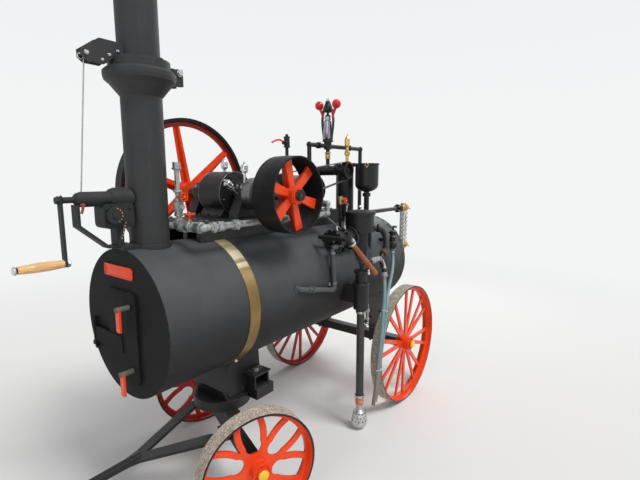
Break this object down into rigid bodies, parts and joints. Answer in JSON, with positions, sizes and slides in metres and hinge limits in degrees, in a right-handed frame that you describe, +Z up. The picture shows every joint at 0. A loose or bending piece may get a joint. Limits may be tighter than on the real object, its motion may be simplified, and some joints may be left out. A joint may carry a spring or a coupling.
{
  "type": "portable steam engine",
  "caption": "Horizontal boiler on spoked wheels with an open single-cylinder engine, flywheel, belt pulley, governor, folding chimney and drawbar.",
  "frame": {"origin": "on the ground under the middle of the whole machine's box, drawbar included", "axes": "+X forward towards the smokebox and drawbar, +Y to the engine's left, +Z up"},
  "size_m": [2.6467, 1.194, 2.86],
  "materials": {
    "black_paint": "matt",
    "brass": "polished",
    "galvanised_pipe": "dull zinc",
    "orange_paint": "gloss",
    "chrome_cups": "polished",
    "varnished_wood": "varnished",
    "black_hose": "satin",
    "bright_steel": "satin",
    "teal_hose": "satin",
    "machined_steel": "machined",
    "red_paint": "gloss",
    "leather_belt": "worn"
  },
  "bodies": {
    "boiler": {"boiler_barrel": "black_paint", "boiler_band": "brass", "chimney_base": "black_paint", "engine_bed": "black_paint", "crank_guard": "black_paint", "steam_cylinder": "black_paint", "motion_rods": "machined_steel", "steam_dome": "black_paint", "governor_stand": "black_paint", "governor_belt": "leather_belt", "safety_valve": "brass", "exhaust_pipe": "galvanised_pipe", "valve_handles": "orange_paint", "oil_cups": "chrome_cups", "lubricator_pot": "black_paint", "feed_tank": "black_paint", "feed_pump": "black_paint", "hand_pump": "black_paint", "wood_handles": "varnished_wood", "suction_pipe": "black_hose", "suction_strainer": "bright_steel", "ribbed_hose": "black_hose", "delivery_hose": "teal_hose", "drain_hose": "teal_hose", "water_gauge": "bright_steel", "gauge_pipework": "black_paint", "rear_axle": "black_paint", "front_saddle": "black_paint", "winch": "black_paint"},
    "smokebox_door": {"smokebox_door": "black_paint", "door_catches": "orange_paint"},
    "fire_door": {"fire_door": "black_paint"},
    "upper_chimney": {"upper_chimney": "black_paint"},
    "crankshaft": {"crankshaft": "machined_steel", "flywheel": "orange_paint", "belt_pulley": "orange_paint"},
    "governor_pulley": {"governor_pulley": "black_paint"},
    "governor_spindle": {"governor_spindle": "black_paint", "governor_balls": "red_paint"},
    "fore_carriage": {"fore_carriage": "black_paint"},
    "drawbar": {"drawbar": "black_paint"},
    "rear_wheel_left": {"rear_wheel_left": "orange_paint"},
    "rear_wheel_right": {"rear_wheel_right": "orange_paint"},
    "front_wheel_left": {"front_wheel_left": "orange_paint"},
    "front_wheel_right": {"front_wheel_right": "orange_paint"}
  },
  "joints": [
    {"name": "steer", "type": "hinge", "parent": "boiler", "child": "fore_carriage", "pos_m": [0.327, 0, 0.4], "axis": [0, 0, 1], "range_deg": [-18, 62]},
    {"name": "drawbar_lift", "type": "hinge", "parent": "fore_carriage", "child": "drawbar", "pos_m": [0.38263, -0.02248, 0.29], "axis": [-0.3746, -0.9272, 0], "range_deg": [0, 45]},
    {"name": "front_left_spin", "type": "hinge", "parent": "fore_carriage", "child": "front_wheel_left", "pos_m": [0.52704, 0.49512, 0.272], "axis": [0.3746, 0.9272, 0], "continuous": true},
    {"name": "front_right_spin", "type": "hinge", "parent": "fore_carriage", "child": "front_wheel_right", "pos_m": [0.12696, -0.49512, 0.272], "axis": [0.3746, 0.9272, 0], "continuous": true},
    {"name": "rear_left_spin", "type": "hinge", "parent": "boiler", "child": "rear_wheel_left", "pos_m": [-0.914, 0.517, 0.408], "axis": [0, 1, 0], "continuous": true},
    {"name": "rear_right_spin", "type": "hinge", "parent": "boiler", "child": "rear_wheel_right", "pos_m": [-0.914, -0.517, 0.408], "axis": [0, 1, 0], "continuous": true},
    {"name": "chimney_fold", "type": "hinge", "parent": "boiler", "child": "upper_chimney", "pos_m": [0.527, 0, 2.026], "axis": [0, -1, 0], "range_deg": [0, 90]},
    {"name": "smokebox_door_swing", "type": "hinge", "parent": "boiler", "child": "smokebox_door", "pos_m": [0.8495, -0.25, 0.85], "axis": [0, 0, -1], "range_deg": [0, 120]},
    {"name": "fire_door_swing", "type": "hinge", "parent": "boiler", "child": "fire_door", "pos_m": [-1.203, 0.16, 0.901], "axis": [0, 0, -1], "range_deg": [0, 110]},
    {"name": "crank_spin", "type": "hinge", "parent": "boiler", "child": "crankshaft", "pos_m": [0.156, 0, 1.481], "axis": [0, 1, 0], "continuous": true},
    {"name": "governor_drive_spin", "type": "hinge", "parent": "boiler", "child": "governor_pulley", "pos_m": [-0.613, 0.1, 1.61], "axis": [0, 1, 0], "continuous": true},
    {"name": "governor_spin", "type": "hinge", "parent": "boiler", "child": "governor_spindle", "pos_m": [-0.613, 0.02, 1.9], "axis": [0, 0, 1], "continuous": true}
  ],
  "couplings": [
    {"joint": "governor_drive_spin", "follows": "crank_spin", "ratio": 1.5329},
    {"joint": "governor_spin", "follows": "crank_spin", "ratio": 1.5329}
  ]
}
